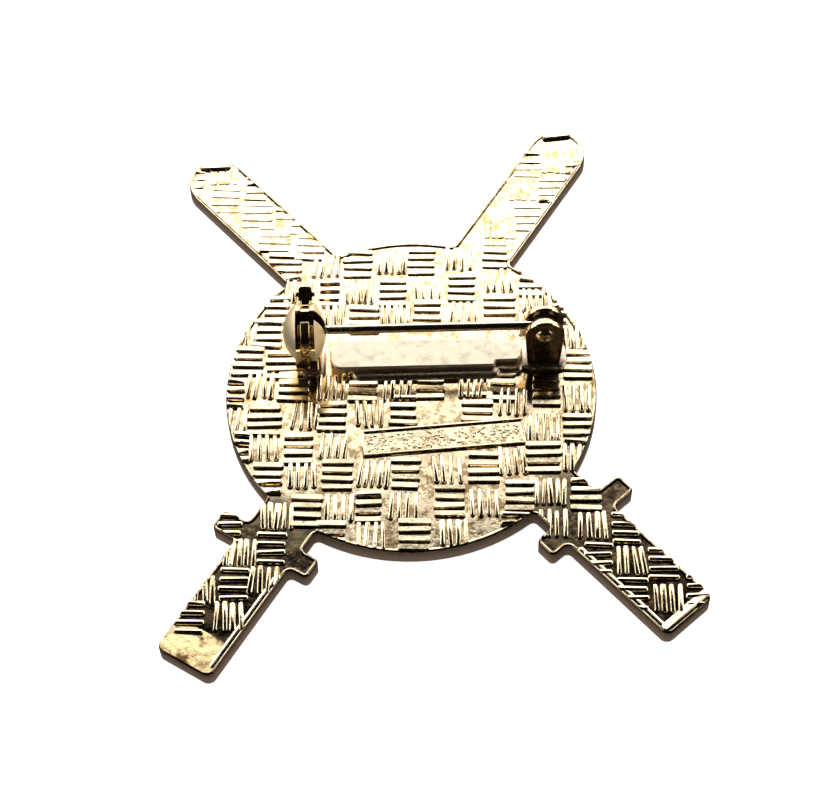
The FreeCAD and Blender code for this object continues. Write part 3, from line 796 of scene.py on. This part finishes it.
def makeLabel(s):
    # a blank frame with a stippled field; it carries no lettering
    across, up = s["size"][0] / 2, s["size"][1] / 2
    plate = boxAt("label_frame", (-across, -up, s["bottom"]), (across, up, s["frameZ"]))
    chooseFaces(plate, lambda f: f.normal.z > 0.9)
    bpy.ops.mesh.inset(thickness=s["frameWidth"] * mm, depth=0)
    bpy.ops.mesh.inset(thickness=s["slope"] * mm, depth=0)
    bpy.ops.transform.translate(value=(0, 0, (s["fieldZ"] - s["frameZ"]) * mm))
    leaveEdit()
    bevelled(plate, s["edge"], 2, 30)
    chance = random.Random(s["seed"])
    long, wide = s["pipSize"]
    pip = boxAt("pip", (-long / 2, -wide / 2, -0.1), (long / 2, wide / 2, s["pipHeight"]))
    chooseEdges(pip, lambda a, b: max(a.z, b.z) > 0)
    bevelChosen(s["pipEdge"], 1)
    pieces = [plate]
    for number in range(s["pips"]):
        twin = copyOf(pip, "pip")
        x = chance.uniform(-across + s["margin"], across - s["margin"])
        y = chance.uniform(-up + s["margin"], up - s["margin"])
        turn = Matrix.Rotation(chance.uniform(0, math.pi), 4, "Z")
        shares = [chance.uniform(*s[key]) for key in ("lengths", "widths", "heights")]
        twin.data.transform(placed(x, y, s["fieldZ"]) @ turn @ Matrix.Diagonal((*shares, 1)))
        pieces.append(twin)
    bpy.data.objects.remove(pip)
    whole = joined(pieces, "label_frame")
    placeMesh(whole, placed(*s["centre"]) @ Matrix.Rotation(math.radians(s["turn"]), 4, "Z"))
    smooth(whole, 35)
    flattenBig(whole, 1.0)
    whole.data.materials.clear()
    whole.data.materials.append(castGold)
    return whole


labelFrame = makeLabel(label)
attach(labelFrame, "badge")
print("label made")


def refine(node, name, body, material, width, segments=2):
    # a CAD node with rounded edges and its own finish
    piece = copyNode(node, name)
    bevelled(piece, width, segments)
    smooth(piece, 35)
    flattenBig(piece, 0.6)
    piece.data.materials.append(material)
    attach(piece, body)
    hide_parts(node)
    return piece


def paintFold(fold, material):
    # the bracket's two ears are painted darker on their flat sides, as painted shade
    fold.data.materials.append(material)
    for face in fold.data.polygons:
        if abs(face.normal.y) > 0.8:
            face.material_index = 1


refine("pin_bar", "bar_strip", "badge", gold["strip"], 0.12, 3)
jointFold = refine("joint_bracket", "joint_fold", "badge", gold["fitting"], 0.1)
paintFold(jointFold, gold["upright"])
refine("joint_rivet", "rivet_tube", "badge", gold["rivet"], 0.07)
refine("pin_stem", "pin_wire", "pin", gold["wire"], 0.06)
catchShell = refine("catch_housing", "catch_shell", "badge", gold["fitting"], 0.07)
lockRing = refine("catch_rotor", "lock_ring", "lock", gold["fitting"], 0.07)

solder = {
    "bottom": 2.05, "top": 2.78, "turn": -4.4, "barOrigin": (1.7, 3.75),
    "corner": 1.1, "slopeShare": 0.7, "flow": (1.6, (0.3, 0.3, 0.2)),
    # low corner, high corner in the bar's own frame, then the slope of the sides
    "beds": (
        ((-7.9, -2.75), (8.5, 2.1), 0.78),
        ((7.6, -2.15), (10.9, 1.5), 0.6),
        ((10.4, -1.75), (15.6, 1.7), 0.4),
        ((-13.6, -2.0), (-10.6, 1.9), 0.4)),
}


def makeSolder(s):
    # flat beds with soft, sloping sides under the strip, the joint and the catch
    pieces = []
    for low, high, slope in s["beds"]:
        bed = boxAt("solder_beds", (*low, s["bottom"]), (*high, s["top"]))
        chooseEdges(bed, isUpright)
        bevelChosen(s["corner"], 5)
        chooseEdges(bed, atTop(s["top"]))
        bevelChosen(slope * s["slopeShare"], 4)
        enterEdit(bed)
        bpy.ops.mesh.select_all(action="SELECT")
        bpy.ops.mesh.subdivide(number_cuts=2)
        leaveEdit()
        pieces.append(bed)
    whole = joined(pieces, "solder_beds")
    roughen(whole, *s["flow"], "solderFlow")
    placeMesh(whole, placed(*s["barOrigin"]) @ Matrix.Rotation(math.radians(s["turn"]), 4, "Z"))
    smooth(whole, 50)
    whole.data.materials.clear()
    whole.data.materials.append(gold["solder"])
    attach(whole, "badge")
    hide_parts("solder_joints")


makeSolder(solder)

catch = {
    # the centre and axis of the ball, radii of its inside and outside, and the foot's upper end (mm)
    "place": (-10.663, 4.701, 7.9), "axis": (0.99705, -0.07672, 0.0),
    "inside": 2.62, "ball": 3.5, "footTop": 4.9,
    "inward": -0.2, "outward": 0.6,      # how far a face has to turn in or out to count as inside or cheek
}


def paintCatch(piece, isShell, s):
    # the inside of the ball is painted dark as painted shade, its two cheeks are satin and its foot carries a
    # painted orange reflection
    axis, centre = Vector(s["axis"]), Vector(s["place"]) * mm
    for key in ("inside", "cheek", "foot"):
        piece.data.materials.append(gold[key])
    for face in piece.data.polygons:
        offset = face.center - centre
        radial = offset - axis * offset.dot(axis)
        inward = radial.length > 0 and face.normal.dot(radial.normalized()) < s["inward"]
        outward = offset.length < s["ball"] * mm and face.normal.dot(offset.normalized()) > s["outward"]
        if inward and radial.length < s["inside"] * mm:
            face.material_index = 1
        elif isShell and outward:
            face.material_index = 2
        # painted reflection: orange on the catch's foot
        if isShell and face.center.z < s["footTop"] * mm:
            face.material_index = 3


paintCatch(catchShell, True, catch)
paintCatch(lockRing, False, catch)
print("bar pin refined")
